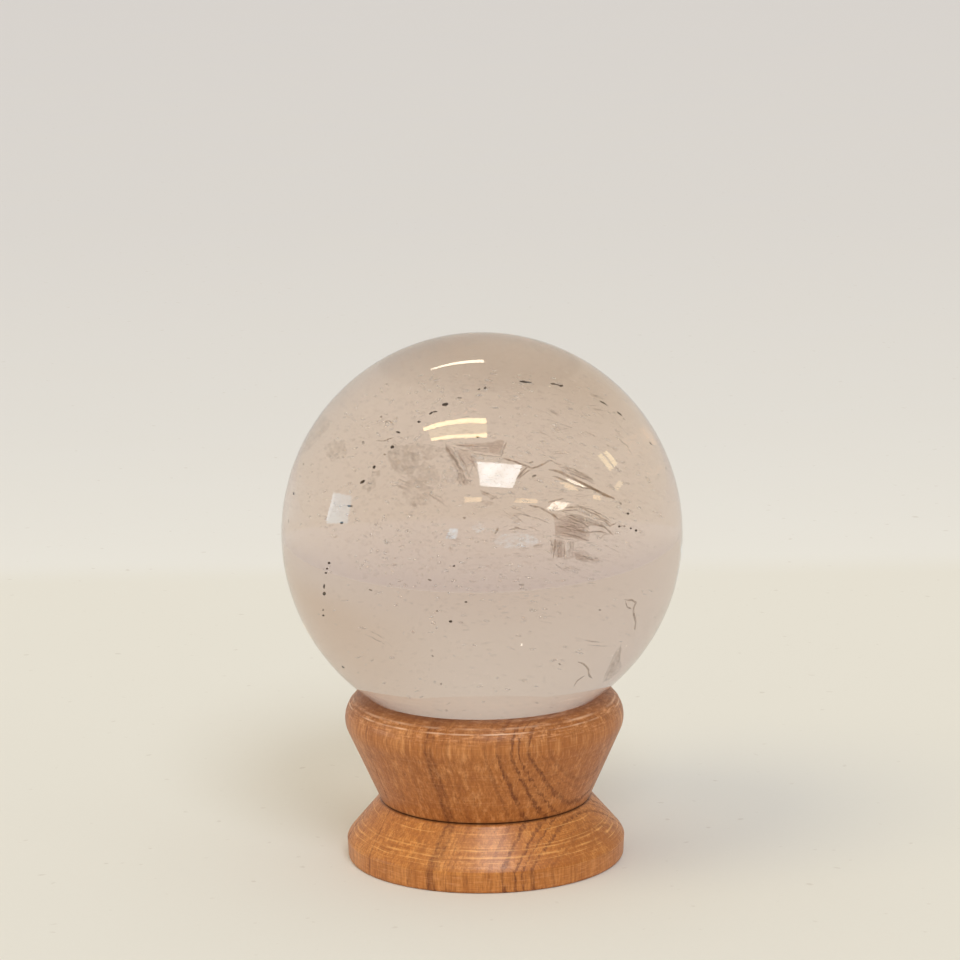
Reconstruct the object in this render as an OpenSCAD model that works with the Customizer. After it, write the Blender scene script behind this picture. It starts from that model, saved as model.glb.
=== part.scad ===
// Polished quartz sphere resting in a one-piece turned wooden stand.
// Millimetres, +Z up. The origin is the centre of the stand's underside.

/* [Sphere] */
// Diameter of the polished quartz sphere
sphere_d = 75; // [70:0.5:80]

/* [Stand rim] */
// Largest diameter of the rim that carries the sphere
rim_d = 52.6; // [51:0.1:55]
// Height of the centre of the rim's rounded edge above the floor
rim_z = 27; // [26:0.1:29]
// Radius of the rim's rounded edge
rim_round_r = 5.1; // [4.6:0.1:5.6]
// Radius at which the sphere touches the seat
seat_r = 21.8; // [21.5:0.1:22.2]
// Width of the narrow conical seat inside the touching circle, measured across
seat_land = 0.5; // [0.3:0.1:0.8]
// Radius of the hollow turned out below the seat
bowl_r = 24; // [23:0.5:27]
// Play left between sphere and seat
seat_play = 0.01; // [0.005:0.005:0.05]

/* [Waist] */
// Diameter of the upper cone's sharp lower edge
waist_d = 39.8; // [38:0.1:41]
// Height of that edge above the floor
waist_z = 11.6; // [10:0.1:13]
// Diameter of the foot's cone right under the groove
neck_d = 40.5; // [39.5:0.1:41.5]
// Opening of the groove between the two cones, measured along the axis
groove_w = 0.55; // [0.3:0.05:1]
// Depth of the groove, measured from the upper cone's lower edge
groove_depth = 1; // [0.6:0.1:1.6]

/* [Foot] */
// Largest diameter of the foot
foot_d = 52.8; // [51:0.1:55]
// Height of the centre of the foot's rounded shoulder
foot_round_z = 2.9; // [2.7:0.1:3.6]
// Radius of the foot's rounded shoulder
foot_round_r = 2.6; // [2:0.1:2.7]
// Taper of the foot's band from its widest line down to the floor
foot_taper = 0.25; // [0.1:0.05:0.6]
// Chamfer that breaks the edge the stand rests on
foot_chamfer = 0.5; // [0.3:0.1:0.8]

/* [Hidden] */
$fn = 96;

sphere_r = sphere_d / 2;
rim_c = [rim_d / 2 - rim_round_r, rim_z];
foot_c = [foot_d / 2 - foot_round_r, foot_round_z];

// The seat is a cone tangent to the sphere at seat_r, so its slope is the sphere's own there.
seat_a = asin(seat_r / sphere_r);
// Angle, up from the horizontal, at which the rim's round meets the seat.
crest_r = seat_r + 0.55;
crest_a = acos((crest_r - rim_c[0]) / rim_round_r);
crest_z = rim_c[1] + rim_round_r * sin(crest_a);
function seat_z(r) = crest_z + (r - crest_r) * tan(seat_a);
// Height of the sphere's centre when it rests on the seat.
sphere_z = seat_z(seat_r) + sphere_r * cos(seat_a) + seat_play;
// The hollow is a sphere's cap that starts at the inner edge of the seat.
bowl_top_r = seat_r - seat_land;
bowl_z = seat_z(bowl_top_r) + sqrt(bowl_r * bowl_r - bowl_top_r * bowl_top_r);

// Angle on a circle (centre c, radius r) of the tangent point seen from p. Side is 1 or -1.
function touch_a(p, c, r, side) =
    let (d = p - c) atan2(d[1], d[0]) + side * acos(r / norm(d));
// A point just inside the circle, so that the circle itself makes the visible edge.
function just_in(c, r, a) = c + (r * 0.9998) * [cos(a), sin(a)];

cone_edge = [waist_d / 2, waist_z];
neck_edge = [neck_d / 2, waist_z - groove_w];
groove_root = [waist_d / 2 - groove_depth, waist_z + 0.25];
rim_touch = just_in(rim_c, rim_round_r, touch_a(cone_edge, rim_c, rim_round_r, 1));
foot_touch = just_in(foot_c, foot_round_r, touch_a(neck_edge, foot_c, foot_round_r, -1));
foot_widest = just_in(foot_c, foot_round_r, 0);

module quartz_sphere() {
    color([0.80, 0.74, 0.67, 0.55])
        translate([0, 0, sphere_z]) sphere(r = sphere_r);
}

// Half section of the stand: two cones back to back, a sharp groove at the waist, rounded rim and foot.
module stand_section() {
    difference() {
        union() {
            polygon([
                [0, 0],
                [foot_d / 2 - foot_taper - foot_chamfer, 0],
                [foot_d / 2 - foot_taper, foot_chamfer],
                foot_widest,
                foot_touch,
                neck_edge,
                groove_root,
                cone_edge,
                rim_touch,
                rim_c,
                [rim_c[0], crest_z - 1],
                [0, crest_z - 1]
            ]);
            translate(foot_c) circle(r = foot_round_r);
            translate(rim_c) circle(r = rim_round_r);
        }
        // seat and everything above it
        polygon([
            [-1, crest_z + 12],
            [-1, seat_z(bowl_top_r)],
            [bowl_top_r, seat_z(bowl_top_r)],
            [crest_r + 3, seat_z(crest_r + 3)],
            [crest_r + 3, crest_z + 12]
        ]);
        // hollow under the sphere
        intersection() {
            translate([0, bowl_z]) circle(r = bowl_r);
            translate([-1, bowl_z - bowl_r - 1]) square([bowl_r + 2, bowl_r + 1 - bowl_z + seat_z(bowl_top_r) + 0.001]);
        }
    }
}

module wooden_stand() {
    color([0.67, 0.40, 0.22])
        rotate_extrude() stand_section();
}

quartz_sphere();
wooden_stand();
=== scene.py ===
import math
import random

import bpy
import numpy as np
from mathutils import Matrix, Vector, noise


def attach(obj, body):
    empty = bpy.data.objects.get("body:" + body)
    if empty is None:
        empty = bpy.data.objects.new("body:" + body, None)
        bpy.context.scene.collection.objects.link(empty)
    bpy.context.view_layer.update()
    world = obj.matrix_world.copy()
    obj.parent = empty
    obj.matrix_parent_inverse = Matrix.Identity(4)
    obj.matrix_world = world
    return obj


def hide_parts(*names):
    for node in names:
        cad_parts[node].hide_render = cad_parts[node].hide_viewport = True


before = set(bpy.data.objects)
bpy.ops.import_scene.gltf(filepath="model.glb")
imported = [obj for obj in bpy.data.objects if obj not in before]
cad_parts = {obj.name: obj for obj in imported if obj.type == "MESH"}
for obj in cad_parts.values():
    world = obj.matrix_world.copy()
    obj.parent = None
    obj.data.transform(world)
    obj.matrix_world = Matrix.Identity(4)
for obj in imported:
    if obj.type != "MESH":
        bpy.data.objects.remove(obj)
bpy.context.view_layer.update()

scene = bpy.context.scene
scene.view_settings.view_transform = "Standard"
scene.view_settings.look = "None"
scene.cycles.max_bounces = 32
scene.cycles.transmission_bounces = 24
scene.cycles.glossy_bounces = 16
scene.cycles.transparent_max_bounces = 64
scene.cycles.sample_clamp_indirect = 6.0

MM = 0.001
R = 0.0375                 # sphere's radius
CZ = 0.062098              # height of the sphere's centre
IOR = 1.544

# ------------------------------------------------------------------ camera
DIST, ELEV, LENS = 0.650, 12.05, 130.3
e = math.radians(ELEV)
eye = Vector((0.0, -math.cos(e) * DIST, CZ + math.sin(e) * DIST))
aim_right, aim_down, roll = 0.03285, 0.86845, -0.741      # degrees: where the sphere's centre sits in the frame
forward = (Vector((0, 0, CZ)) - eye).normalized()
right = Vector((1, 0, 0))
up = right.cross(forward).normalized()
base = Matrix((right, up, -forward)).transposed()
turn = Matrix.Rotation(math.radians(aim_right), 3, "Y") @ Matrix.Rotation(math.radians(aim_down), 3, "X")
spin = Matrix.Rotation(math.radians(roll), 3, "Z")
cam_data = bpy.data.cameras.new("camera")
cam_data.lens = LENS
cam_data.sensor_width = 36
cam_data.clip_start = 0.01
cam_data.clip_end = 50
cam = bpy.data.objects.new("camera", cam_data)
rot = base @ spin @ turn
cam.matrix_world = Matrix.Translation(eye) @ rot.to_4x4()
scene.collection.objects.link(cam)
scene.camera = cam


def view_ray(u, v):
    """Direction from the eye through the point u right and v up of the sphere's middle, in radii, as the camera sees it."""
    f = LENS / 36 * 960
    x = (2.0 + 200.9 * u) / f
    y = (-53.5 + 200.9 * v) / f
    return (rot @ Vector((x, y, -1.0))).normalized()


def hit(u, v):
    d = view_ray(u, v)
    oc = eye - Vector((0, 0, CZ))
    b = oc.dot(d)
    disc = b * b - (oc.length_squared - R * R)
    t = -b - math.sqrt(max(disc, 0.0))
    p = eye + d * t
    n = (p - Vector((0, 0, CZ))).normalized()
    return p, n, d


def inside(u, v, depth):
    """The place in the stone that shows at (u, v), depth (0 to 1) of the way through it, with the bending at its surface."""
    p, n, d = hit(u, v)
    c = -n.dot(d)
    k = 1 / IOR
    w = d * k + n * (k * c - math.sqrt(1 - k * k * (1 - c * c)))
    w.normalize()
    chord = -2 * w.dot(n) * R
    return p + w * (chord * depth)


def mirrored(u, v):
    """Where a glint at (u, v) comes from: the point on the sphere and the direction to the lamp."""
    p, n, d = hit(u, v)
    return p, (d - n * (2 * d.dot(n))).normalized()


# ------------------------------------------------------------------ helpers
def new_mesh(name, verts, faces, smooth=True):
    me = bpy.data.meshes.new(name)
    me.from_pydata([tuple(v) for v in verts], [], faces)
    me.validate()
    if smooth:
        me.polygons.foreach_set("use_smooth", [True] * len(me.polygons))
    me.update()
    o = bpy.data.objects.new(name, me)
    scene.collection.objects.link(o)
    return o


class Nodes:
    """A thin wrapper that keeps node building readable."""

    def __init__(self, tree):
        self.t = tree
        tree.nodes.clear()

    def add(self, kind, **kw):
        n = self.t.nodes.new(kind)
        ins = kw.pop("ins", {})
        for k, v in kw.items():
            setattr(n, k, v)
        for k, v in ins.items():
            s = n.inputs[k]
            if isinstance(v, bpy.types.NodeSocket):
                self.t.links.new(v, s)
            else:
                s.default_value = v
        return n

    def link(self, a, b):
        self.t.links.new(a, b)

    def math(self, op, a, b=None, c=None, clamp=False):
        n = self.t.nodes.new("ShaderNodeMath")
        n.operation = op
        n.use_clamp = clamp
        for i, v in enumerate((a, b, c)):
            if v is None:
                continue
            if isinstance(v, bpy.types.NodeSocket):
                self.t.links.new(v, n.inputs[i])
            else:
                n.inputs[i].default_value = v
        return n.outputs[0]

    def vmath(self, op, a, b=None):
        n = self.t.nodes.new("ShaderNodeVectorMath")
        n.operation = op
        for i, v in enumerate((a, b)):
            if v is None:
                continue
            if isinstance(v, bpy.types.NodeSocket):
                self.t.links.new(v, n.inputs[i])
            else:
                n.inputs[i].default_value = v
        return n.outputs["Value"] if op in ("DOT_PRODUCT", "LENGTH") else n.outputs[0]

    def scaled(self, vec, s):
        return self.add("ShaderNodeMapping", ins={"Vector": vec, "Scale": s}).outputs[0]

    def noise(self, vec, scale, detail=2.0, rough=0.5, dist=0.0):
        n = self.add("ShaderNodeTexNoise", ins={"Vector": vec, "Scale": scale, "Detail": detail, "Roughness": rough, "Distortion": dist})
        return n.outputs["Fac"]

    def noise1(self, w, scale, detail=2.0, rough=0.5):
        n = self.add("ShaderNodeTexNoise", noise_dimensions="1D", ins={"W": w, "Scale": scale, "Detail": detail, "Roughness": rough})
        return n.outputs["Fac"]

    def ramp(self, fac, stops, interp="LINEAR"):
        n = self.add("ShaderNodeValToRGB", ins={"Fac": fac})
        cr = n.color_ramp
        cr.interpolation = interp
        while len(cr.elements) < len(stops):
            cr.elements.new(0.5)
        for el, (p, c) in zip(cr.elements, stops):
            el.position = p
            el.color = (c, c, c, 1) if isinstance(c, (int, float)) else (*c[:3], 1)
        return n.outputs["Color"]

    def mix(self, fac, a, b, mode="MIX"):
        n = self.t.nodes.new("ShaderNodeMix")
        n.data_type = "RGBA"
        n.blend_type = mode
        for s, v in ((n.inputs[0], fac), (n.inputs[6], a), (n.inputs[7], b)):
            if isinstance(v, bpy.types.NodeSocket):
                self.t.links.new(v, s)
            else:
                s.default_value = v if isinstance(v, (int, float)) else (*v[:3], 1)
        return n.outputs[2]

    def remap(self, v, a, b, c=0.0, d=1.0, smooth=False):
        n = self.add("ShaderNodeMapRange", ins={"Value": v, "From Min": a, "From Max": b, "To Min": c, "To Max": d})
        if smooth:
            n.interpolation_type = "SMOOTHSTEP"
        return n.outputs[0]


def srgb(r, g, b):
    def f(c):
        c /= 255
        return c / 12.92 if c <= 0.04045 else ((c + 0.055) / 1.055) ** 2.4
    return (f(r), f(g), f(b))


def material(name):
    m = bpy.data.materials.new(name)
    m.use_nodes = True
    return m, Nodes(m.node_tree)


# ------------------------------------------------------------------ floor and light
def build_floor():
    rings = [0, 0.02, 0.04, 0.06, 0.09, 0.13, 0.2, 0.3, 0.5, 0.8, 1.3, 2.2, 3.6, 6.0]
    seg = 96
    verts, faces = [(0, 0, 0)], []
    for r in rings[1:]:
        verts += [(r * math.cos(2 * math.pi * k / seg), r * math.sin(2 * math.pi * k / seg), 0) for k in range(seg)]
    for k in range(seg):
        faces.append((0, 1 + k, 1 + (k + 1) % seg))
    for i in range(len(rings) - 2):
        a, b = 1 + i * seg, 1 + (i + 1) * seg
        for k in range(seg):
            faces.append((a + k, b + k, b + (k + 1) % seg, a + (k + 1) % seg))
    o = new_mesh("floor", verts, faces)
    m, n = material("floor_paper")
    tc = n.add("ShaderNodeTexCoord").outputs["Object"]
    mm = n.scaled(tc, (1000, 1000, 1000))
    sep = n.add("ShaderNodeSeparateXYZ", ins={"Vector": mm})
    ay = n.math("ABSOLUTE", sep.outputs[1])
    far = n.remap(ay, 232, 262, smooth=True)
    near_c = (0.768, 0.732, 0.680)
    # beyond the bend the paper is painted as the backdrop: a little cooler in tone, and painted shade that makes it
    # darker with distance
    t = n.remap(n.math("LOGARITHM", n.math("MAXIMUM", ay, 1.0), 10.0), 2.38, 3.78)
    far_tone_and_shade = n.ramp(t, [(0.0, (0.795, 0.768, 0.742)), (0.20, (0.733, 0.708, 0.700)), (0.44, (0.682, 0.656, 0.664)), (0.80, (0.656, 0.630, 0.648)), (1.0, (0.735, 0.720, 0.700))])
    col = n.mix(far, near_c, far_tone_and_shade)
    soft = n.noise(mm, 0.02, 3)
    fine = n.noise(mm, 0.9, 3, 0.7)
    dots = n.noise(mm, 0.33, 1)
    col = n.mix(n.remap(soft, 0.35, 0.65, 0, 0.05), col, (0.72, 0.67, 0.60))
    col = n.mix(n.remap(fine, 0.3, 0.7, 0, 0.05), col, (0.66, 0.60, 0.52))
    col = n.mix(n.remap(dots, 0.73, 0.80, 0, 0.25), col, (0.42, 0.34, 0.28))
    bump = n.add("ShaderNodeBump", ins={"Strength": 0.12, "Distance": 0.0002, "Height": fine})
    b = n.add("ShaderNodeBsdfPrincipled", ins={"Base Color": col, "Roughness": 0.85, "Specular IOR Level": 0.12, "Normal": bump.outputs[0]})
    out = n.add("ShaderNodeOutputMaterial", ins={"Surface": b.outputs[0]})
    o.data.materials.append(m)


def build_world():
    w = bpy.data.worlds.new("studio")
    scene.world = w
    w.use_nodes = True
    n = Nodes(w.node_tree)
    d = n.add("ShaderNodeTexCoord").outputs["Generated"]

    def lobe(direction, edge, full):
        v = Vector(direction).normalized()
        return n.remap(n.vmath("DOT_PRODUCT", d, tuple(v)), math.cos(math.radians(edge)), math.cos(math.radians(full)), smooth=True)

    col = (0.665, 0.640, 0.575)
    lit = n.mix(lobe((0.0, 1.0, 0.05), 80, 25), col, (0.735, 0.710, 0.630))
    lit = n.mix(lobe((-1.0, 0.25, 0.1), 75, 15), lit, (0.700, 0.665, 0.595))
    lit = n.mix(lobe((1.0, 0.25, 0.1), 75, 15), lit, (0.66, 0.585, 0.470))
    lit = n.mix(lobe((0.0, -0.2, 1.0), 65, 10), lit, (0.71, 0.70, 0.68))
    # the light meets the floor without a line
    low = n.remap(n.add("ShaderNodeSeparateXYZ", ins={"Vector": d}).outputs[2], 0.0, 0.20, smooth=True)
    lit = n.mix(low, (0.710, 0.674, 0.598), lit)
    bg = n.add("ShaderNodeBackground", ins={"Color": lit, "Strength": 1.0})
    n.add("ShaderNodeOutputWorld", ins={"Surface": bg.outputs[0]})


def soft_light(name, direction, spread, level, color):
    """A far, broad studio light. level is what it adds to a white floor."""
    d = Vector(direction).normalized()
    data = bpy.data.lights.new(name, "SUN")
    data.angle = math.radians(spread)
    data.color = color
    data.energy = level * math.pi / d.z
    o = bpy.data.objects.new(name, data)
    o.location = d * 0.6
    o.rotation_euler = d.to_track_quat("Z", "Y").to_euler()
    o.visible_camera = False
    o.visible_glossy = False
    o.visible_transmission = False
    scene.collection.objects.link(o)


def build_lights():
    soft_light("light_panel", (0.165, -0.677, 0.716), 22, 0.255, (0.76, 0.89, 1.0))
    soft_light("light_left", (-0.50, -0.345, 0.794), 30, 0.150, (1.0, 0.88, 0.52))


def sheen_light(stand):
    """The studio panel again, for the wood's wax only."""
    d = Vector((0.085, -0.375, 0.922)).normalized()
    data = bpy.data.lights.new("light_sheen", "SUN")
    data.angle = math.radians(21)
    data.color = (1.0, 0.95, 0.92)
    data.energy = 1.55
    o = bpy.data.objects.new("light_sheen", data)
    o.location = d * 0.6
    o.rotation_euler = d.to_track_quat("Z", "Y").to_euler()
    o.visible_camera = False
    o.visible_diffuse = False
    o.visible_transmission = False
    scene.collection.objects.link(o)
    only = bpy.data.collections.new("waxed")
    only.objects.link(stand)
    o.light_linking.receiver_collection = only


def glow(name, color, strength, low=0.92, high=1.06, scale=9.0):
    m, n = material(name)
    tc = n.add("ShaderNodeTexCoord").outputs["Object"]
    vary = n.remap(n.noise(tc, scale, 3), 0.36, 0.60, low, high)
    em = n.add("ShaderNodeEmission", ins={"Color": (*color, 1), "Strength": n.math("MULTIPLY", vary, strength)})
    n.add("ShaderNodeOutputMaterial", ins={"Surface": em.outputs[0]})
    return m


def lamp(name, rows, distance, mat):
    """A lamp seen mirrored in the sphere. rows is a grid of (u, v) places of its glint."""
    verts, faces = [], []
    w = len(rows[0])
    for row in rows:
        for u, v in row:
            p, d = mirrored(u, v)
            verts.append(p + d * distance)
    for i in range(len(rows) - 1):
        for k in range(w - 1):
            a = i * w + k
            faces.append((a, a + 1, a + w + 1, a + w))
    o = new_mesh(name, verts, faces)
    o.data.materials.append(mat)
    o.visible_camera = False
    o.visible_diffuse = False
    o.visible_shadow = False
    o.visible_volume_scatter = False
    return o


def strip(line, w0, w1):
    """Two rows of points on both sides of a line of (u, v) points, w0 to w1 wide."""
    pts = [Vector(p) for p in line]
    lo, hi = [], []
    for i, p in enumerate(pts):
        a, b = pts[max(i - 1, 0)], pts[min(i + 1, len(pts) - 1)]
        t = (b - a).normalized()
        nrm = Vector((-t.y, t.x))
        w = (w0 + (w1 - w0) * i / (len(pts) - 1)) / 2
        lo.append(tuple(p - nrm * w))
        hi.append(tuple(p + nrm * w))
    return [lo, hi]


def quad(a, b, c, d, k=5):
    """Grid between four corners in order."""
    a, b, c, d = map(Vector, (a, b, c, d))
    rows = []
    for i in range(k):
        s = i / (k - 1)
        l, r = a.lerp(d, s), b.lerp(c, s)
        rows.append([tuple(l.lerp(r, j / (k - 1))) for j in range(k)])
    return rows


def build_lamps():
    white = glow("lamp_white", (0.93, 0.985, 1.0), 11.3, 0.70, 1.12, 13.0)
    warm = glow("lamp_warm", (1.0, 0.80, 0.45), 14.0)
    warm_soft = glow("lamp_warm_soft", (1.0, 0.82, 0.50), 3.2)
    cool = glow("lamp_cool", (0.50, 0.80, 1.0), 3.0)
    cool_edge = glow("lamp_cool_edge", (0.66, 0.86, 1.0), 4.6)
    cool_low = glow("lamp_cool_low", (0.50, 0.82, 1.0), 3.2)
    lamp("lamp_panel", quad((-0.025, 0.358), (0.20, 0.340), (0.152, 0.226), (-0.008, 0.236)), 0.55, white)
    lamp("lamp_tube_a", strip([(-0.292, 0.517), (-0.23, 0.537), (-0.142, 0.555), (-0.055, 0.5625), (0.022, 0.559)], 0.018, 0.026), 1.2, warm)
    lamp("lamp_tube_b", strip([(-0.252, 0.467), (-0.18, 0.479), (-0.106, 0.484), (-0.033, 0.486), (0.025, 0.489)], 0.014, 0.019), 1.2, warm)
    lamp("lamp_tray", strip([(-0.262, 0.488), (-0.18, 0.508), (-0.106, 0.518), (-0.033, 0.522), (0.026, 0.524)], 0.05, 0.06), 1.25, warm_soft)
    lamp("lamp_far_tube", strip([(-0.254, 0.816), (-0.20, 0.833), (-0.12, 0.849), (-0.05, 0.8565), (0.01, 0.8575)], 0.006, 0.015), 1.2, glow("lamp_far", (1.0, 0.90, 0.72), 10.5))
    lamp("lamp_right_a", strip([(0.584, 0.394), (0.645, 0.318)], 0.022, 0.024), 1.5, glow("lamp_r1", (1.0, 0.82, 0.46), 5.0))
    lamp("lamp_right_b", strip([(0.612, 0.408), (0.668, 0.340)], 0.020, 0.022), 1.5, glow("lamp_r2", (1.0, 0.82, 0.46), 5.4))
    lamp("lamp_right_c", quad((0.681, 0.267), (0.703, 0.252), (0.678, 0.212), (0.656, 0.230), 3), 1.8, glow("lamp_r3", (1.0, 0.82, 0.50), 3.6))
    lamp("lamp_window", quad((-0.734, 0.204), (-0.647, 0.187), (-0.668, 0.051), (-0.770, 0.055)), 0.9, cool)
    lamp("lamp_window_low", quad((-0.752, 0.112), (-0.672, 0.088), (-0.690, 0.052), (-0.772, 0.050), 3), 0.86, cool_low)
    lamp("lamp_window_edge", strip([(-0.734, 0.204), (-0.752, 0.13), (-0.768, 0.06)], 0.010, 0.016), 0.88, cool_edge)


# ------------------------------------------------------------------ stand
def stand_profile():
    """Outline (radius, height) in millimetres, from the centre of the underside, up the outside and down into the hollow."""
    rim, rr = (21.2, 27.0), 5.1
    ft, fr = (23.8, 2.9), 2.6
    cone, neck, root = (19.9, 11.6), (20.25, 11.05), (18.9, 11.85)

    def touch(p, c, r, side):
        dx, dy = p[0] - c[0], p[1] - c[1]
        return math.atan2(dy, dx) + side * math.acos(r / math.hypot(dx, dy))

    def arc(c, r, a0, a1, step):
        k = max(2, int(abs(a1 - a0) * r / step))
        return [(c[0] + r * math.cos(a0 + (a1 - a0) * i / k), c[1] + r * math.sin(a0 + (a1 - a0) * i / k)) for i in range(k + 1)]

    def seg(p, q, step):
        k = max(1, int(math.hypot(q[0] - p[0], q[1] - p[1]) / step))
        return [(p[0] + (q[0] - p[0]) * i / k, p[1] + (q[1] - p[1]) * i / k) for i in range(1, k + 1)]

    crest_r = 22.35
    ca = math.acos((crest_r - rim[0]) / rr)
    crest = (crest_r, rim[1] + rr * math.sin(ca))
    slope = math.tan(math.asin(21.8 / 37.5))
    bowl_top = (21.3, crest[1] + (21.3 - crest_r) * slope)
    bz = bowl_top[1] + math.sqrt(24 ** 2 - 21.3 ** 2)

    pts = [(0.001, 0.0)]
    pts += seg(pts[-1], (25.65, 0.0), 2.0)
    pts += seg(pts[-1], (25.95, 0.12), 0.12)
    pts += seg(pts[-1], (26.15, 0.5), 0.12)
    edge_a = math.radians(16)
    edge = (ft[0] + fr * math.cos(edge_a), ft[1] + fr * math.sin(edge_a))
    pts += seg(pts[-1], edge, 0.25)
    ta = touch(neck, ft, fr, -1)
    pts += arc(ft, fr, edge_a, ta, 0.2)[1:]
    pts += seg(pts[-1], neck, 0.22)
    pts += seg(pts[-1], root, 0.15)
    pts += seg(pts[-1], cone, 0.15)
    ra = touch(cone, rim, rr, 1)
    if ra > 0:
        ra -= 2 * math.pi
    first = (rim[0] + rr * math.cos(ra), rim[1] + rr * math.sin(ra))
    pts += seg(pts[-1], first, 0.3)
    pts += arc(rim, rr, ra, ca, 0.2)[1:]
    pts += seg(pts[-1], bowl_top, 0.2)
    a0 = math.atan2(bowl_top[1] - bz, bowl_top[0])
    pts += arc((0, bz), 24, a0, -math.pi / 2 + 0.0005, 1.0)[1:]
    return pts


def tool_mark(r, z, s):
    """Height in mm of the turned surface above its true outline: fine rings left by the tool."""
    if r < 19.0 or z < 0.6:
        return 0.0
    h = 0.0
    if 3.6 < z < 11.0:                                   # the foot's cone, coarse rings
        wob = 0.35 * math.sin(s * 1.9) + 0.25 * math.sin(s * 0.83 + 1)
        h += 0.020 * max(0.0, math.sin(2 * math.pi * (s / 1.05) + wob)) ** 2 - 0.008
        h += 0.007 * math.sin(2 * math.pi * s / 0.47 + 2)
    elif z > 12.2:
        h += 0.004 * math.sin(2 * math.pi * s / 0.62) + 0.003 * math.sin(2 * math.pi * s / 0.37 + 1)
        if z > 24:
            h += 0.006 * math.sin(2 * math.pi * s / 0.9)
            a = math.degrees(math.atan2(z - 27, r - 21.2))
            h += 0.050 * math.exp(-((a - 47) / 2.6) ** 2) + 0.055 * math.exp(-((a - 35) / 2.8) ** 2)
    else:
        h += 0.003 * math.sin(2 * math.pi * s / 0.5)
    return h


def build_stand():
    pts = stand_profile()
    s, prof = 0.0, []
    for i, (r, z) in enumerate(pts):
        a, b = pts[max(i - 1, 0)], pts[min(i + 1, len(pts) - 1)]
        if i:
            s += math.hypot(r - pts[i - 1][0], z - pts[i - 1][1])
        tx, tz = b[0] - a[0], b[1] - a[1]
        ln = math.hypot(tx, tz) or 1
        nx, nz = tz / ln, -tx / ln
        h = tool_mark(r, z, s)
        inner = r < 22.4 and z > 18
        if inner:
            h = 0.0
        prof.append((r + nx * h, max(0.0, z + nz * h)))
    seg = 240
    verts, faces = [], []
    for r, z in prof:
        for k in range(seg):
            a = 2 * math.pi * k / seg
            verts.append((r * MM * math.cos(a), r * MM * math.sin(a), z * MM))
    for i in range(len(prof) - 1):
        for k in range(seg):
            a, b = i * seg + k, i * seg + (k + 1) % seg
            faces.append((a, b, b + seg, a + seg))
    faces.append(tuple(reversed(range(seg))))
    last = (len(prof) - 1) * seg
    faces.append(tuple(range(last, last + seg)))
    o = new_mesh("stand_turned", verts, faces)
    # crisp edges at the groove, the foot's line and the underside
    me = o.data
    sharp = set()
    for i in range(1, len(prof) - 1):
        a = Vector((prof[i][0] - prof[i - 1][0], prof[i][1] - prof[i - 1][1]))
        b = Vector((prof[i + 1][0] - prof[i][0], prof[i + 1][1] - prof[i][1]))
        if a.length and b.length and a.angle(b, 0) > math.radians(24):
            sharp.add(i)
    flags = [False] * len(me.edges)
    for ed in me.edges:
        i, j = ed.vertices[0] // seg, ed.vertices[1] // seg
        if i == j and i in sharp:
            flags[ed.index] = True
    attr = me.attributes.new("sharp_edge", "BOOLEAN", "EDGE") if "sharp_edge" not in me.attributes else me.attributes["sharp_edge"]
    attr.data.foreach_set("value", flags)
    o.data.materials.append(wood_material())
    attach(o, "root")
    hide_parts("wooden_stand")
    return o


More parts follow.
